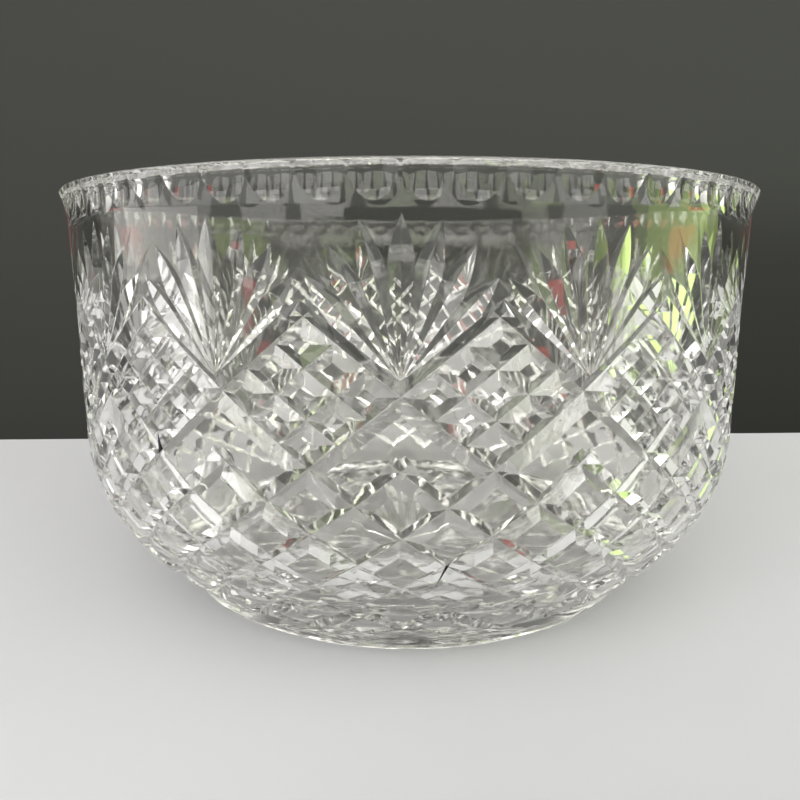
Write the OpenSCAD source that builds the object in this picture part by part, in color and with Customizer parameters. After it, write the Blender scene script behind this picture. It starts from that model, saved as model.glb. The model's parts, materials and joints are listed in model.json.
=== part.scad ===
// Cut crystal punch bowl: one heavy vessel, ground and mitre-cut on the outside.
// Millimetres, +Z up. The origin is on the axis, at the face that the bowl stands on.

/* [Body] */
// Outside diameter at the rim, before the thumb cuts take a little off it
rim_d = 255.6; // [253:0.2:258]
// Height from the foot to the rim
height = 143; // [140:1:160]
// Outside diameter of the straight side
body_d = 249.6; // [246:0.2:251]
// Wall thickness of the straight side
wall_t = 8.6; // [7:0.2:12]
// Thickness of the glass on the axis
base_t = 9; // [8:1:16]
// Height at which the straight side starts to curve in
belly_z = 60; // [58:1:64]

/* [Foot] */
// Outside diameter of the foot where it meets the table
foot_d = 184; // [176:1:188]
// Height of the plain band above it
foot_h = 8; // [7:0.5:9]
// Width of the ring that touches the table
ring_w = 12; // [8:1:16]
// Depth of the hollow inside the ring
ring_depth = 1.6; // [1:0.2:3]
// Rays of the star under the base
star_rays = 24; // [16:2:32]
// Depth of those rays
star_depth = 1; // [0.6:0.1:1.4]

/* [Cutting] */
// Fans around the bowl, one above each main crossing
fans = 16; // [14:1:18]
// Height of one row of the diamond lattice, along the surface
row_h = 9.7; // [9.4:0.1:10]
// Width of a main mitre
main_w = 6.6; // [5:0.2:7]
// Depth of a main mitre
main_depth = 2.5; // [1.6:0.1:2.8]
// Width of a small mitre
small_w = 6; // [4:0.2:6.4]
// Depth of a small mitre
small_depth = 2.2; // [1.4:0.1:2.4]
// Rays of one fan, between its two main mitres
rays = 7; // [3:2:9]
// Length of the middle ray
ray_l = 38.5; // [34:0.5:40]
// Width of the middle ray
ray_w = 5; // [4:0.2:5.4]
// Depth of a ray
ray_depth = 1.6; // [0.8:0.1:2]

/* [Rim] */
// Thumb cuts along the edge, for each fan
scallops_per_fan = 4; // [3:1:5]
// Height of a thumb cut
scallop_h = 9.7; // [8:0.1:10.5]
// Depth of a thumb cut at the rim
scallop_depth = 1.5; // [1:0.1:2.5]
// Radius of the wheel that makes the thumb cuts
scallop_r = 24; // [14:1:30]
// Height of the bevel on the outer edge
bevel_h = 2; // [1:0.1:2.5]
// Width of the bevel across the top
bevel_w = 3.6; // [2:0.1:4]

/* [Hidden] */
$fn = 96;
crystal_colour = [0.84, 0.87, 0.84, 0.6];
rim_r = rim_d / 2;
body_r = body_d / 2;
foot_r = foot_d / 2;
inner_r = body_r - wall_t;
pitch = 360 / fans;                  // degrees from one fan to the next
belly_a = 74;                        // radial half axis of the curve from side to foot
belly_b = 66;                        // vertical half axis of the same curve
belly_arc = (belly_a + belly_b) / 2; // mean radius, which turns arc length into an angle
foot_a = asin((belly_z - foot_h) / belly_b);
star_in = 16;                        // radius at which the star's rays start
star_out = 0.8;                      // share of the hollow's radius at which they end
inner_power = 3;                     // the inside is a little squarer than an ellipse
flare_h = 11;                        // the side flares out to the rim over this height
row0_s = -7.5;                       // row 0, as an arc length below belly_z
row_up = 4;                          // the main mitres start this many rows above row 0
row_end = 6.8;                       // the lattice's cuts run out this many rows below it
row_step = 2;                        // rows that one straight cut of the lattice spans
fan_row = -2.4;                      // where a fan's rays would meet, just above the main crossing
fan_open = 57;                       // angle from upright to a main mitre
ray_start = 0.12;                    // share of a ray's length that is left out where they meet
ray_widest = 0.66;                   // and the share at which it is widest and deepest
flare_power = 1.6;                    // and curves out like this power of the height
scallop_gap = 0.1;                   // a thumb cut starts this far outside the flare
proud = 3;                           // how far each cutter stands out of the surface
ray_lift = 0.3;                      // how far a ray's two pointed ends stand out of it
overrun = 0.4;                       // how far a straight cut runs past each of its ends

function unit(v) = v / norm(v);
function degrees(radians) = radians * 180 / PI;

// Outline of the side at arc length s below belly_z, as [radius, height]
function belly(a) = [body_r - belly_a * (1 - cos(a)), belly_z - belly_b * sin(a)];
function side(s) = s <= 0 ? [body_r, belly_z - s] : belly(degrees(s / belly_arc));

// Outline of the flare, for t from 0 at its foot to 1 at the rim's bevel
function flare(t) = [body_r + (rim_r - body_r) * pow(t, flare_power),
                     height - flare_h + (flare_h - bevel_h) * t];

// Outward direction of the side
function side_out(s) =
    let (a = s <= 0 ? 0 : degrees(s / belly_arc)) unit([cos(a) / belly_a, -sin(a) / belly_b]);

// A place in the pattern: u counts fans around the bowl and row counts lattice rows down it
function s_at(row) = row0_s + row * row_h;
function around(u, v) = [v[0] * sin(u * pitch), -v[0] * cos(u * pitch), v[1]];
function at(u, row, out = 0) = around(u, side(s_at(row)) + out * side_out(s_at(row)));
function out_at(u, row) = around(u, side_out(s_at(row)));

// Puts its children at a point, with X along one direction and Z along another
module on_axes(origin, x, z) {
    y = cross(z, x);
    multmatrix([for (i = [0 : 2]) [x[i], y[i], z[i], origin[i]]]) children();
}

// The V of a mitre wheel, from one place in the pattern to another
module mitre(u1, row1, u2, row2, w, depth) {
    u = (u1 + u2) / 2;
    row = (row1 + row2) / 2;
    p1 = at(u1, row1);
    p2 = at(u2, row2);
    along = unit(p2 - p1);
    half = norm(p2 - p1) / 2 + overrun;
    top = w / 2 * (depth + proud) / depth;
    middle = (at(u, row) + (p1 + p2) / 2) / 2;
    on_axes(middle, along, unit(cross(along, cross(out_at(u, row), along))))
        rotate([90, 0, 90])
            translate([0, 0, -half])
                linear_extrude(2 * half)
                    polygon([[0, -depth], [top, proud], [-top, proud]]);
}

// One leaf-shaped ray of a fan: it runs out at both ends and is deepest past its middle
module ray(u, lean) {
    l = ray_l * (1 - 0.25 * pow(lean / fan_open, 2));
    du = degrees(l * sin(lean) / body_r) / pitch;
    drow = -l * cos(lean) / row_h;
    mid_u = u + ray_widest * du;
    mid_row = fan_row + ray_widest * drow;
    sideways = unit(cross(at(u + du, fan_row + drow) - at(u, fan_row), out_at(mid_u, mid_row)));
    half = ray_w / 2 * l / ray_l * (ray_depth + proud) / ray_depth;
    polyhedron(
        points = [
            at(u + ray_start * du, fan_row + ray_start * drow, ray_lift),
            at(u + du, fan_row + drow, ray_lift), at(mid_u, mid_row, -ray_depth),
            at(mid_u, mid_row, proud) + half * sideways, at(mid_u, mid_row, proud) - half * sideways
        ],
        faces = [[0, 3, 2], [0, 2, 4], [0, 4, 3], [1, 2, 3], [1, 4, 2], [1, 3, 4]]);
}

// The solid before it is cut: foot band, curved belly, straight side, flared rim
module blank() {
    steps = 16;
    rotate_extrude()
        polygon(concat(
            [[0, ring_depth], [foot_r - ring_w, ring_depth], [foot_r - ring_w + ring_depth, 0],
             [foot_r - 1, 0], [foot_r, 1]],
            [for (i = [steps : -1 : 0]) belly(foot_a * i / steps)],
            [flare(0), flare(0.5), flare(1), [rim_r - bevel_w, height], [0, height]]));
}

// The smooth inside
module inside() {
    steps = 20;
    function inner(a) = [inner_r * pow(sin(a), 2 / inner_power),
                         belly_z - (belly_z - base_t) * pow(cos(a), 2 / inner_power)];
    rotate_extrude()
        polygon(concat([for (i = [0 : steps]) inner(90 * i / steps)],
                       [[inner_r, height + 1], [0, height + 1]]));
}

// Thumb cuts all around the rim. Each starts where the flare does, and leans out less than it
module scallops() {
    count = fans * scallops_per_fan;
    start_r = flare((flare_h - scallop_h) / (flare_h - bevel_h))[0] + scallop_gap;
    lean = atan((rim_r - scallop_depth - start_r) / scallop_h);
    for (i = [0 : count - 1])
        rotate([0, 0, (i + 0.5) * 360 / count])
            translate([0, -start_r, height - scallop_h])
                rotate([lean, 0, 0])
                    translate([0, -scallop_r, 0])
                        cylinder(r = scallop_r, h = 2 * scallop_h);
}

// Fans, and the wide mitres that edge them and cross below them
module fan(u) {
    for (i = [1 : rays]) ray(u, fan_open * (2 * i / (rays + 1) - 1));
    for (way = [-1, 1]) {
        mitre(u - way / 2, -row_up, u, -row_up / 2, main_w, main_depth);
        mitre(u, -row_up / 2, u + way / 2, 0, main_w, main_depth);
    }
}

// Small mitres that cross below the windows, from row 0 down to the foot band
module lattice() {
    for (k = [0 : 2 * fans - 1], way = [-1, 1], row = [0 : row_step : row_end]) {
        last = min(row + row_step, row_end);
        mitre((k + way * row / 2) / 2, row, (k + way * last / 2) / 2, last, small_w, small_depth);
    }
}

// The star that is cut into the hollow under the base
module star() {
    reach = star_out * (foot_r - ring_w);
    for (i = [1 : star_rays])
        rotate([90, 0, i * 360 / star_rays])
            translate([0, 0, star_in])
                linear_extrude(reach - star_in)
                    polygon([[0, ring_depth + star_depth],
                             [2 * star_depth, ring_depth - star_depth],
                             [-2 * star_depth, ring_depth - star_depth]]);
}

module bowl() {
    color(crystal_colour)
        difference() {
            blank();
            inside();
            scallops();
            for (u = [0 : fans - 1]) fan(u);
            lattice();
            star();
        }
}

bowl();
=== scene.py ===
"""Cut crystal punch bowl on a pale table in front of a dark wall.

The bowl is turned from one closed outline and then cut with the same wheels as the CAD model,
but with finer steps, rounded edges and a hand's slight unevenness. Metres, +Z up.
"""

import json
import math
import random

import bmesh
import bpy
from mathutils import Matrix, Vector

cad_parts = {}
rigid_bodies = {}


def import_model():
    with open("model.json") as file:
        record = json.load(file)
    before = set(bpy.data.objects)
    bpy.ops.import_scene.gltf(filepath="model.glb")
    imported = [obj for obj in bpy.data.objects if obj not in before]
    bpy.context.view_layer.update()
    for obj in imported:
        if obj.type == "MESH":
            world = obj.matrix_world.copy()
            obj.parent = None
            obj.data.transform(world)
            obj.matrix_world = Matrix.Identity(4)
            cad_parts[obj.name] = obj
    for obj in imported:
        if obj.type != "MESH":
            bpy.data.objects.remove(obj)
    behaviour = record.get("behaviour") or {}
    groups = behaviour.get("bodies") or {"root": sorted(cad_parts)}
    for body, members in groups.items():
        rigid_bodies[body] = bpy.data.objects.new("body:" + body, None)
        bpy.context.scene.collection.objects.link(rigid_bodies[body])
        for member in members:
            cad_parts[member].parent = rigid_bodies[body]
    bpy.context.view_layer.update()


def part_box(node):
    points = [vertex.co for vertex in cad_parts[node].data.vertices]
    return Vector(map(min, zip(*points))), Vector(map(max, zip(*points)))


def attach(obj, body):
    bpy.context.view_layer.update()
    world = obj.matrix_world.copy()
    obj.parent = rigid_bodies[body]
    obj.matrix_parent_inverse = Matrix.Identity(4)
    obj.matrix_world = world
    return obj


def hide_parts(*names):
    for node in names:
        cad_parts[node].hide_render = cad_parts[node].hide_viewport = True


MM = 0.001

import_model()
low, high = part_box("bowl")

# Driving sizes. The frame gives the outer ones, and the cutting follows part.scad.
RIM_R = (high.x - low.x) / 2 + 0.3 * MM   # before the thumb cuts take a little off it
HEIGHT = high.z
BODY_R = 124.8 * MM
FOOT_R = 92 * MM
FOOT_H = 8 * MM
BELLY_Z = 60 * MM
BELLY_A = 74 * MM              # radial half axis of the curve from side to foot
BELLY_B = 66 * MM              # vertical half axis of the same curve
BELLY_ARC = (BELLY_A + BELLY_B) / 2
FLARE_H = 11 * MM              # the rim turns outwards over this much of its height
FLARE_POWER = 1.6
WALL = 8.6 * MM
BASE = 8 * MM                  # the inside floor's height
INNER_R = BODY_R - WALL
INNER_POWER = 3.0
INNER_LIP = 1.4 * MM           # radius of the rim's inner edge
RING_W = 12 * MM
RING_DEPTH = 1.6 * MM          # the hollow inside the foot ring
RING_EDGE = 0.6 * MM           # radius of the ring's inner edge
FOOT_EDGE = 1.0 * MM           # radius of its outer edge

FANS = 16
PITCH = math.tau / FANS
ROW_H = 9.7 * MM
ROW0_S = -7.5 * MM             # row 0, as an arc length below BELLY_Z
ROW_UP = 4                     # rows that the large diamonds take above row 0
ROW_END = 6.8                  # where the lattice runs out near the foot
MAIN_W, MAIN_DEPTH, MAIN_STEPS = 6.6 * MM, 2.5 * MM, 8
SMALL_W, SMALL_DEPTH, SMALL_STEPS = 6.0 * MM, 2.2 * MM, 14
NINE_W, NINE_DEPTH, NINE_STEPS = 5.8 * MM, 2.1 * MM, 4
RAYS = 7
FAN_OPEN = math.radians(57)    # lean of the two mitres that hold a fan
FAN_ROW = -2.4                 # where a fan's rays meet
RAY_L, RAY_W, RAY_DEPTH = 39.5 * MM, 7.0 * MM, 1.6 * MM
RAY_WIDEST = 0.68              # share of a ray's length at its widest point
RAY_ROOT_POWER = 0.9
RAY_TIP_POWER = 1.8
RAY_SHORTER = 0.25             # how much shorter a ray at FAN_OPEN would be
THINNEST = 0.02                # share of the full size left at a cut's pointed ends
PROUD = 2.5 * MM               # how far each cutter stands out of the surface

SCALLOPS = 4 * FANS
SCALLOP_H = 9.7 * MM
SCALLOP_DEPTH = 1.3 * MM
SCALLOP_R = 18 * MM            # the wheel's radius across the cut
SCALLOP_SPREAD = math.radians(19)
SCALLOP_OUT = 9 * MM           # how far its cutter reaches outwards
BEVEL_H = 1.7 * MM
BEVEL_W = 3.2 * MM

STAR_RAYS = 24
STAR_STEPS = 12
STAR_W, STAR_DEPTH = 8 * MM, 1.4 * MM
STAR_START = 3 * MM
STAR_END = 0.9 * (FOOT_R - RING_W)

SEGMENTS = 384                 # round the lathe
EDGE_ANGLE = math.radians(5)   # steeper edges than this stay sharp
MERGE = 0.01 * MM

rng = random.Random(1907)


# ---------------------------------------------------------------- outline
def side(s):
    """Radius and height at arc length s below BELLY_Z, and the outward direction there."""
    if s <= 0:
        return BODY_R, BELLY_Z - s, 1.0, 0.0
    a = s / BELLY_ARC
    n = math.hypot(math.cos(a) / BELLY_A, math.sin(a) / BELLY_B)
    return (BODY_R - BELLY_A * (1 - math.cos(a)), BELLY_Z - BELLY_B * math.sin(a),
            math.cos(a) / BELLY_A / n, -math.sin(a) / BELLY_B / n)


def place(u, row, out=0.0):
    """A point of the pattern: u counts fans round the bowl, row counts lattice rows down it."""
    r, z, nr, nz = side(ROW0_S + row * ROW_H)
    r, z = r + out * nr, z + out * nz
    return Vector((r * math.sin(u * PITCH), -r * math.cos(u * PITCH), z))


def outward(u, row):
    nr, nz = side(ROW0_S + row * ROW_H)[2:]
    return Vector((nr * math.sin(u * PITCH), -nr * math.cos(u * PITCH), nz))


def flare_r(z):
    """Outer radius near the rim, before it is cut."""
    t = max(0.0, (z - (HEIGHT - FLARE_H)) / FLARE_H)
    return BODY_R + (RIM_R - BODY_R) * t ** FLARE_POWER


def arc(centre, radius, start, end, steps):
    """Points of a circle's arc in the outline's plane, both ends included. Degrees."""
    return [(centre[0] + radius * math.cos(math.radians(start + (end - start) * i / steps)),
             centre[1] + radius * math.sin(math.radians(start + (end - start) * i / steps)))
            for i in range(steps + 1)]


def outline():
    """Radius and height round the whole section, from the axis below to the axis inside."""
    base_steps = 12
    belly_steps = 34
    wall_steps = 16
    flare_steps = 12
    bevel_steps = 8
    inner_steps = 48
    ring_r = FOOT_R - RING_W
    points = [(ring_r * i / base_steps, RING_DEPTH) for i in range(base_steps + 1)]
    points += arc((ring_r + RING_DEPTH, RING_EDGE), RING_EDGE, 225, 270, 4)
    points += arc((FOOT_R - FOOT_EDGE, FOOT_EDGE), FOOT_EDGE, 270, 350, 6)
    foot_s = BELLY_ARC * math.asin((BELLY_Z - FOOT_H) / BELLY_B)
    for i in range(belly_steps, -1, -1):
        points.append(side(foot_s * i / belly_steps)[:2])
    flare_z = HEIGHT - FLARE_H
    for i in range(1, wall_steps + 1):
        points.append((BODY_R, BELLY_Z + (flare_z - BELLY_Z) * i / wall_steps))
    lip_z = HEIGHT - BEVEL_H
    for i in range(1, flare_steps + 1):
        z = flare_z + (lip_z - flare_z) * i / flare_steps
        points.append((flare_r(z), z))
    lip_r = flare_r(lip_z)
    for i in range(1, bevel_steps + 1):
        a = math.radians(90 * i / bevel_steps)
        points.append((lip_r - BEVEL_W * (1 - math.cos(a)), lip_z + BEVEL_H * math.sin(a)))
    inner_top = HEIGHT - INNER_LIP
    points += arc((INNER_R + INNER_LIP, inner_top), INNER_LIP, 90, 180, 7)
    for i in range(1, wall_steps + 1):
        points.append((INNER_R, inner_top - (inner_top - BELLY_Z) * i / wall_steps))
    for i in range(inner_steps - 1, -1, -1):
        a = math.pi / 2 * i / inner_steps
        points.append((INNER_R * math.sin(a) ** (2 / INNER_POWER),
                       BELLY_Z - (BELLY_Z - BASE) * math.cos(a) ** (2 / INNER_POWER)))
    return points


def mesh_object(name, verts, faces, collection=None):
    mesh = bpy.data.meshes.new(name)
    mesh.from_pydata([tuple(v) for v in verts], [], faces)
    mesh.update()
    obj = bpy.data.objects.new(name, mesh)
    (collection or bpy.context.scene.collection).objects.link(obj)
    return obj


def lathe(name, points, segments):
    """A closed solid of revolution. The outline starts and ends on the axis."""
    inner = points[1:-1]
    verts = [(0, 0, points[0][1])]
    for r, z in inner:
        for k in range(segments):
            a = math.tau * (k + 0.5) / segments
            verts.append((r * math.cos(a), r * math.sin(a), z))
    verts.append((0, 0, points[-1][1]))
    top = len(verts) - 1
    faces = []
    for k in range(segments):
        n = (k + 1) % segments
        faces.append((0, 1 + n, 1 + k))
        for i in range(len(inner) - 1):
            a, b = 1 + i * segments, 1 + (i + 1) * segments
            faces.append((a + k, a + n, b + n, b + k))
        last = 1 + (len(inner) - 1) * segments
        faces.append((last + k, last + n, top))
    return mesh_object(name, verts, faces)


# ---------------------------------------------------------------- cutters
cutters = bpy.data.collections.new("cutters")
bpy.context.scene.collection.children.link(cutters)


def sweep(name, sections):
    """A closed cutter through its cross-sections, which all have the same number of points."""
    n = len(sections[0])
    verts = [v for section in sections for v in section]
    faces = [tuple(range(n - 1, -1, -1)), tuple((len(sections) - 1) * n + i for i in range(n))]
    for j in range(len(sections) - 1):
        for i in range(n):
            k = (i + 1) % n
            faces.append((j * n + i, j * n + k, (j + 1) * n + k, (j + 1) * n + i))
    obj = mesh_object(name, verts, faces, cutters)
    bm = bmesh.new()
    bm.from_mesh(obj.data)
    bmesh.ops.recalc_face_normals(bm, faces=bm.faces)
    bm.to_mesh(obj.data)
    bm.free()
    return obj


def groove(name, path, along, shape):
    """A V groove. path gives (u, row) at t from 0 to 1, and shape gives (half width, depth)."""
    sections = []
    for i, t in enumerate(along):
        before, after = along[max(i - 1, 0)], along[min(i + 1, len(along) - 1)]
        out = outward(*path(t))
        way = (place(*path(after)) - place(*path(before))).normalized()
        sideways = way.cross(out).normalized()
        half, depth = shape(t)
        top = place(*path(t), PROUD)
        reach = half * (1 + PROUD / depth)
        sections.append([place(*path(t), -depth), top + reach * sideways, top - reach * sideways])
    return sweep(name, sections)


def mitre(name, u1, row1, u2, row2, width, depth, steps):
    """One pull of the mitre wheel, a little off its line as a hand leaves it."""
    slip = [rng.uniform(-0.25, 0.25) * MM / (BODY_R * PITCH) for _ in range(2)]
    deep = depth * rng.uniform(0.93, 1.07)
    over = 0.04

    def path(t):
        t = -over + t * (1 + 2 * over)
        return (u1 + (u2 - u1) * t + slip[0] + (slip[1] - slip[0]) * t, row1 + (row2 - row1) * t)

    along = [i / steps for i in range(steps + 1)]
    return groove(name, path, along, lambda t: (width / 2 * deep / depth, deep))


def fan_ray(name, u, lean):
    """A leaf-shaped cut: pointed at both ends, and deepest past its middle."""
    lean += math.radians(rng.uniform(-0.5, 0.5))
    length = RAY_L * (1 - RAY_SHORTER * (lean / FAN_OPEN) ** 2) * rng.uniform(0.985, 1.015)
    du = length * math.sin(lean) / BODY_R / PITCH
    drow = -length * math.cos(lean) / ROW_H

    def path(t):
        return u + t * du, FAN_ROW + t * drow

    def shape(t):
        if t < RAY_WIDEST:
            swell = math.sin(math.pi / 2 * t / RAY_WIDEST) ** RAY_ROOT_POWER
        else:
            swell = 1 - ((t - RAY_WIDEST) / (1 - RAY_WIDEST)) ** RAY_TIP_POWER
        swell = max(swell, THINNEST) * length / RAY_L
        return RAY_W / 2 * swell, RAY_DEPTH * swell

    steps = 16
    return groove(name, path, [i / steps for i in range(steps + 1)], shape)


def scallop(name, index):
    """A thumb cut: spoon-shaped, steep at its foot and then following the flare to the rim."""
    turn = (index + 0.5 + rng.uniform(-0.02, 0.02)) * math.tau / SCALLOPS
    bottom = HEIGHT - SCALLOP_H + rng.uniform(-0.35, 0.35) * MM
    deepest = SCALLOP_DEPTH * rng.uniform(0.95, 1.05)
    wheel = Matrix.Rotation(turn, 4, "Z")
    facets = 20
    low_z, high_z = bottom - 0.8 * MM, HEIGHT + 1 * MM
    steps = 14
    sections = []
    for j in range(steps + 1):
        z = low_z + (high_z - low_z) * j / steps
        short = 1 - min((z - bottom) / SCALLOP_H, 1)
        depth = deepest * (1 - short ** 2)
        r = flare_r(z) - depth
        section = []
        for i in range(facets + 1):
            a = SCALLOP_SPREAD * (2 * i / facets - 1)
            section.append((SCALLOP_R * math.sin(a), r + SCALLOP_R * (1 - math.cos(a))))
        section += [(section[-1][0], r + SCALLOP_OUT), (section[0][0], r + SCALLOP_OUT)]
        sections.append([wheel @ Vector((x, -y, z)) for x, y in section])
    return sweep(name, sections)


def star_ray(name, index):
    """A ray of the star under the base, pointed at both ends and deepest near its outer one."""
    turn = Matrix.Rotation(index * math.tau / STAR_RAYS, 4, "Z")
    below = 1.0 * MM
    sections = []
    for i in range(STAR_STEPS + 1):
        t = i / STAR_STEPS
        swell = max(THINNEST, math.sin(math.pi * t ** 1.6))
        deep = STAR_DEPTH * swell
        wide = STAR_W / 2 * swell * (1 + below / deep)
        r = STAR_START + (STAR_END - STAR_START) * t
        sections.append([turn @ Vector((r, 0, RING_DEPTH + deep)),
                         turn @ Vector((r, wide, RING_DEPTH - below)),
                         turn @ Vector((r, -wide, RING_DEPTH - below))])
    return sweep(name, sections)


def cut_everything():
    for k in range(2 * FANS):
        for way in (-1, 1):
            if k % 2:
                mitre(f"main_{k}_{way}", k / 2 - way, -ROW_UP, k / 2, 0,
                      MAIN_W, MAIN_DEPTH, MAIN_STEPS)
            mitre(f"lattice_{k}_{way}", k / 2, 0, k / 2 + way * ROW_END / 4, ROW_END,
                  SMALL_W, SMALL_DEPTH, SMALL_STEPS)
    for k in range(FANS):
        c = k + 0.5
        for way in (-1, 1):
            for t in (1 / 3, 2 / 3):
                mitre(f"nine_{k}_{way}_{t:.1f}", c - way * t / 2, -ROW_UP + ROW_UP / 2 * t,
                      c + way * (1 - t) / 2, -ROW_UP / 2 + ROW_UP / 2 * t,
                      NINE_W, NINE_DEPTH, NINE_STEPS)
        for i in range(1, RAYS + 1):
            fan_ray(f"ray_{k}_{i}", k, FAN_OPEN * (2 * i / (RAYS + 1) - 1))
    for i in range(SCALLOPS):
        scallop(f"scallop_{i}", i)
    for i in range(STAR_RAYS):
        star_ray(f"star_{i}", i)


def carve(body):
    """Takes every cutter out of the body and keeps only the result."""
    cut = body.modifiers.new("cut", "BOOLEAN")
    cut.operation = "DIFFERENCE"
    cut.operand_type = "COLLECTION"
    cut.collection = cutters
    cut.solver = "MANIFOLD"
    depsgraph = bpy.context.evaluated_depsgraph_get()
    mesh = bpy.data.meshes.new_from_object(body.evaluated_get(depsgraph))
    body.modifiers.clear()
    old, body.data = body.data, mesh
    bpy.data.meshes.remove(old)
    for obj in list(cutters.objects):
        data = obj.data
        bpy.data.objects.remove(obj)
        bpy.data.meshes.remove(data)
    bpy.data.collections.remove(cutters)
    bm = bmesh.new()
    bm.from_mesh(mesh)
    bmesh.ops.remove_doubles(bm, verts=bm.verts, dist=MERGE)
    bmesh.ops.dissolve_degenerate(bm, edges=bm.edges, dist=MERGE)
    bm.to_mesh(mesh)
    bm.free()
    for polygon in mesh.polygons:
        polygon.use_smooth = True
    mesh.set_sharp_from_angle(angle=EDGE_ANGLE)


bowl = lathe("crystal_bowl", outline(), SEGMENTS)
cut_everything()
carve(bowl)


# ---------------------------------------------------------------- materials
def principled(name, **values):
    material = bpy.data.materials.new(name)
    material.use_nodes = True
    shader = material.node_tree.nodes["Principled BSDF"]
    for key, value in values.items():
        shader.inputs[key.replace("_", " ")].default_value = value
    return material, material.node_tree, shader


CRYSTAL_TINT = (0.978, 0.972, 0.952, 1)
CRYSTAL_IOR = 1.55
WAVES_PER_M, WAVES_STRENGTH = 90, 0.06
HAZE_PER_M = 25


def crystal(name, smooth, hazy, edge):
    """Clear glass with the faint waviness and haze that polishing leaves.

    smooth and hazy are the roughness between and in the hazy patches, and edge is the radius
    to which polishing has softened the edges of the cuts.
    """
    material, tree, shader = principled(name, Transmission_Weight=1.0,
                                        IOR=CRYSTAL_IOR, Base_Color=CRYSTAL_TINT)
    nodes, links = tree.nodes, tree.links
    coords = nodes.new("ShaderNodeTexCoord")
    waves = nodes.new("ShaderNodeTexNoise")
    waves.inputs["Scale"].default_value = WAVES_PER_M
    waves.inputs["Detail"].default_value = 3
    bump = nodes.new("ShaderNodeBump")
    bump.inputs["Strength"].default_value = WAVES_STRENGTH
    bump.inputs["Distance"].default_value = 1 * MM
    links.new(coords.outputs["Object"], waves.inputs["Vector"])
    links.new(waves.outputs["Fac"], bump.inputs["Height"])
    if edge:
        soft_edges = nodes.new("ShaderNodeBevel")
        soft_edges.inputs["Radius"].default_value = edge
        soft_edges.samples = 4
        links.new(soft_edges.outputs["Normal"], bump.inputs["Normal"])
    links.new(bump.outputs["Normal"], shader.inputs["Normal"])
    haze = nodes.new("ShaderNodeTexNoise")
    haze.inputs["Scale"].default_value = HAZE_PER_M
    haze.inputs["Detail"].default_value = 6
    spread = nodes.new("ShaderNodeMapRange")
    spread.inputs["From Min"].default_value = 0.45
    spread.inputs["From Max"].default_value = 0.8
    spread.inputs["To Min"].default_value = smooth
    spread.inputs["To Max"].default_value = hazy
    links.new(coords.outputs["Object"], haze.inputs["Vector"])
    links.new(haze.outputs["Fac"], spread.inputs["Value"])
    links.new(spread.outputs["Result"], shader.inputs["Roughness"])
    return material


def on_the_inside(centre):
    """Is this point of the bowl's surface on its smooth inside?"""
    r = math.hypot(centre.x, centre.y)
    if centre.z > BELLY_Z:
        return r < INNER_R + 0.5 * MM
    share = (BELLY_Z - centre.z) / (BELLY_Z - BASE)
    inner_r = INNER_R * max(0.0, 1 - share ** INNER_POWER) ** (1 / INNER_POWER)
    return r < inner_r + 1.5 * MM and centre.z > BASE - 0.5 * MM


bowl.data.materials.clear()
bowl.data.materials.append(crystal("crystal_cut", smooth=0.012, hazy=0.026, edge=0.3 * MM))
bowl.data.materials.append(crystal("crystal_inside", smooth=0.045, hazy=0.075, edge=0))
for polygon in bowl.data.polygons:
    polygon.material_index = int(on_the_inside(polygon.center))
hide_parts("bowl")
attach(bowl, "root")


# ---------------------------------------------------------------- stage
def slab(name, centre, size, turn, material):
    """A box of the stage, turned about the vertical through its centre."""
    x, y, z = (c / 2 for c in size)
    verts = [(i * x, j * y, k * z) for i in (-1, 1) for j in (-1, 1) for k in (-1, 1)]
    faces = [(0, 1, 3, 2), (4, 6, 7, 5), (0, 4, 5, 1), (2, 3, 7, 6), (0, 2, 6, 4), (1, 5, 7, 3)]
    obj = mesh_object(name, verts, faces)
    obj.location = centre
    obj.rotation_euler = (0, 0, math.radians(turn))
    obj.data.materials.append(material)
    return obj


def painted(name, colour, roughness, grain):
    """Paint with a faint mottle."""
    material, tree, shader = principled(name, Roughness=roughness)
    nodes, links = tree.nodes, tree.links
    coords = nodes.new("ShaderNodeTexCoord")
    noise = nodes.new("ShaderNodeTexNoise")
    noise.inputs["Scale"].default_value = grain
    noise.inputs["Detail"].default_value = 5
    mix = nodes.new("ShaderNodeMix")
    mix.data_type = "RGBA"
    mix.inputs["A"].default_value = (*(0.93 * c for c in colour), 1)
    mix.inputs["B"].default_value = (*colour, 1)
    links.new(coords.outputs["Object"], noise.inputs["Vector"])
    links.new(noise.outputs["Fac"], mix.inputs["Factor"])
    links.new(mix.outputs["Result"], shader.inputs["Base Color"])
    return material


def shade(material, colour, ramps):
    """Paints shade into a material: blends painted()'s colour into another where all the ramps,
    (axis, from, to), reach 1.
    """
    nodes, links = material.node_tree.nodes, material.node_tree.links
    base = nodes["Principled BSDF"].inputs["Base Color"]
    mottle = base.links[0].from_socket
    place_on = nodes.new("ShaderNodeSeparateXYZ")
    links.new(nodes["Texture Coordinate"].outputs["Object"], place_on.inputs["Vector"])
    both = nodes.new("ShaderNodeMath")
    both.operation = "MULTIPLY"
    for number, (axis, start, end) in enumerate(ramps):
        ramp = nodes.new("ShaderNodeMapRange")
        ramp.interpolation_type = "SMOOTHSTEP"
        ramp.inputs["From Min"].default_value = start
        ramp.inputs["From Max"].default_value = end
        links.new(place_on.outputs[axis], ramp.inputs["Value"])
        links.new(ramp.outputs["Result"], both.inputs[number])
    mix = nodes.new("ShaderNodeMix")
    mix.data_type = "RGBA"
    mix.inputs["B"].default_value = (*colour, 1)
    links.new(both.outputs["Value"], mix.inputs["Factor"])
    links.new(mottle, mix.inputs["A"])
    links.new(mix.outputs["Result"], base)


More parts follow.
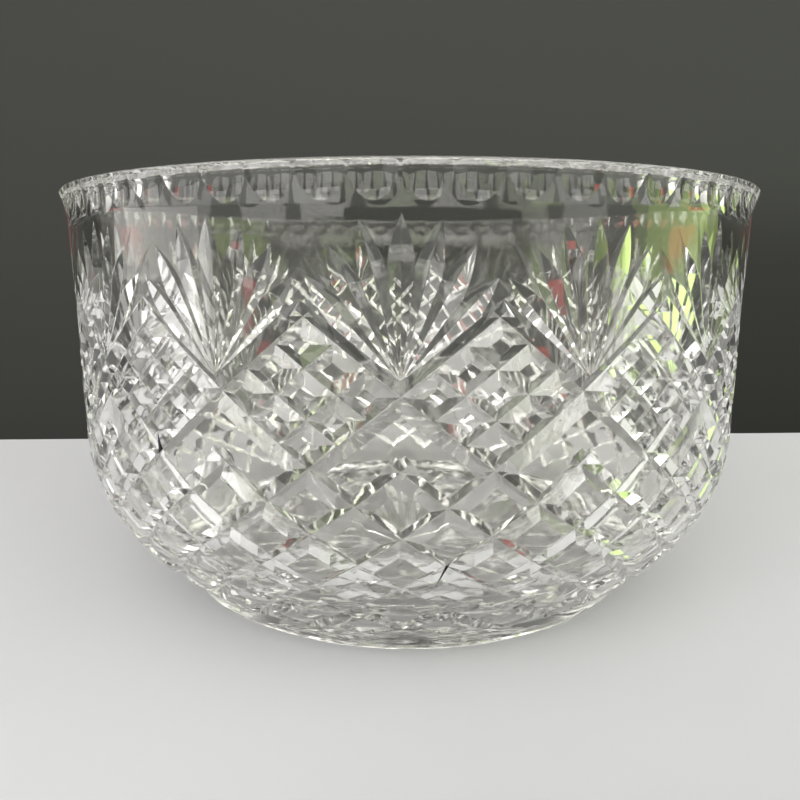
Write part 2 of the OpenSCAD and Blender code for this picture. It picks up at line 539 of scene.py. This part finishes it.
TABLE_SIZE = (5.0, 3.0, 0.04)
TABLE_FAR = 0.177              # how far behind the bowl's axis the table ends
TABLE_TURN = 3.3
AIR_GAP = 0.05 * MM            # the thin film of air under the foot
TABLE_COLOUR = (0.735, 0.735, 0.775)
WALL_PLACE = (0, 0.95, 0.3)
WALL_SIZE = (6.0, 0.04, 2.4)
WALL_COLOUR = (0.031, 0.032, 0.029)
WALL_PAINTED_SHADE = 0.45              # painted shade: share of the wall's colour left at the lower right, standing in for a shadow there
FLAG_PLACE = (0.046, -0.302, 0.105)
FLAG_SIZE = (0.243, 0.004, 0.10)
FLAG_COLOUR = (0.036, 0.037, 0.034)

turn = math.radians(TABLE_TURN)
half_depth = TABLE_SIZE[1] / 2
slab("table", (half_depth * math.sin(turn), TABLE_FAR - half_depth * math.cos(turn),
               -TABLE_SIZE[2] / 2 - AIR_GAP),
     TABLE_SIZE, TABLE_TURN, painted("table_paint", TABLE_COLOUR, 0.55, 6))
wall_paint_and_painted_shade = painted("wall_paint_and_painted_shade", WALL_COLOUR, 0.7, 4)
# Painted shade: the wall's colour darkens towards its lower right, standing in for a shadow
# falling there
shade(wall_paint_and_painted_shade, [WALL_PAINTED_SHADE * c for c in WALL_COLOUR],
      (("X", 0.30, 0.56), ("Z", -0.02, -0.20)))
slab("wall", WALL_PLACE, WALL_SIZE, 0, wall_paint_and_painted_shade)
# A dark card by the camera, which only the glass reflects
flag = slab("flag", FLAG_PLACE, FLAG_SIZE, 0, painted("card_paint", FLAG_COLOUR, 0.7, 4))
flag.visible_camera = False


def lamp(name, around, distance, height, width, tall, radiance, colour):
    """A soft rectangular light that faces the bowl. around is 0 behind the camera, in degrees."""
    light = bpy.data.lights.new(name, "AREA")
    light.shape = "RECTANGLE"
    light.size, light.size_y = width, tall
    light.energy = radiance * math.pi * width * tall
    light.color = colour
    obj = bpy.data.objects.new(name, light)
    bpy.context.scene.collection.objects.link(obj)
    a = math.radians(around)
    obj.location = (distance * math.sin(a), -distance * math.cos(a), height)
    aim = Vector((0, 0, 0.1)) - obj.location
    obj.rotation_mode = "QUATERNION"
    obj.rotation_quaternion = aim.to_track_quat("-Z", "Y")
    obj.visible_camera = False
    return obj


WHITE = (1.0, 0.99, 0.96)
PALE_GREEN = (0.93, 1.0, 0.78)
LEAF_GREEN = (0.50, 0.75, 0.14)
RED = (1.0, 0.10, 0.08)
# The tall window behind the camera: around, radiance and colour of each pane
PANES = ((-44, 2.4, WHITE), (-24, 2.9, WHITE), (-4, 2.4, PALE_GREEN),
         (16, 2.8, WHITE), (36, 1.8, PALE_GREEN), (56, 1.7, WHITE))
for number, (around, radiance, colour) in enumerate(PANES):
    lamp(f"pane_{number}", around, 1.75, 1.02, 0.55, 1.7, radiance, colour)
lamp("ceiling", 0, 0.6, 2.3, 3.2, 3.0, 0.5, WHITE)
lamp("room_left", -80, 1.8, 0.55, 1.2, 1.0, 1.5, WHITE)
lamp("sky_right", 86, 1.8, 0.98, 1.2, 0.7, 2.2, WHITE)
lamp("garden_right", 90, 1.5, 0.27, 0.9, 0.5, 1.4, LEAF_GREEN)
lamp("garden_front", 24, 1.6, 0.07, 1.2, 0.16, 1.0, LEAF_GREEN)
lamp("red_left", -142, 1.0, 0.20, 0.10, 0.2, 0.16, RED)
lamp("red_right", 145, 1.0, 0.20, 0.10, 0.2, 0.25, RED)

ROOM_COLOUR = (0.61, 0.60, 0.575, 1)
ROOM_LOW, ROOM_HIGH = 0.42, 0.71   # its strength near the horizon and high up
world = bpy.data.worlds.new("room")
bpy.context.scene.world = world
world.use_nodes = True
air = world.node_tree
towards = air.nodes.new("ShaderNodeTexCoord")
split = air.nodes.new("ShaderNodeSeparateXYZ")
climb = air.nodes.new("ShaderNodeMapRange")
climb.interpolation_type = "SMOOTHSTEP"
climb.inputs["From Min"].default_value = -0.05
climb.inputs["From Max"].default_value = 0.45
climb.inputs["To Min"].default_value = ROOM_LOW
climb.inputs["To Max"].default_value = ROOM_HIGH
air.links.new(towards.outputs["Generated"], split.inputs["Vector"])
air.links.new(split.outputs["Z"], climb.inputs["Value"])
air.links.new(climb.outputs["Result"], air.nodes["Background"].inputs["Strength"])
air.nodes["Background"].inputs["Color"].default_value = ROOM_COLOUR


# ---------------------------------------------------------------- camera
CAMERA_D = 287.2 * MM
CAMERA_H = 119.5 * MM
CAMERA_AROUND = math.radians(0.74)
CAMERA_DOWN = math.radians(11.43)
CAMERA_YAW = math.radians(0.62)
CAMERA_LENS, CAMERA_SENSOR = 30.87, 36
cam = bpy.data.objects.new("camera", bpy.data.cameras.new("camera"))
bpy.context.scene.collection.objects.link(cam)
cam.data.sensor_width = CAMERA_SENSOR
cam.data.lens = CAMERA_LENS
cam.data.clip_start = 0.01
cam.location = (CAMERA_D * math.sin(CAMERA_AROUND), -CAMERA_D * math.cos(CAMERA_AROUND), CAMERA_H)
cam.rotation_euler = (math.pi / 2 - CAMERA_DOWN, 0, CAMERA_AROUND + CAMERA_YAW)
bpy.context.scene.camera = cam

scene = bpy.context.scene
scene.cycles.max_bounces = 32
scene.cycles.transmission_bounces = 28
scene.cycles.glossy_bounces = 12
scene.cycles.diffuse_bounces = 4
scene.cycles.transparent_max_bounces = 8
scene.view_settings.view_transform = "Standard"
scene.view_settings.exposure = 0.06
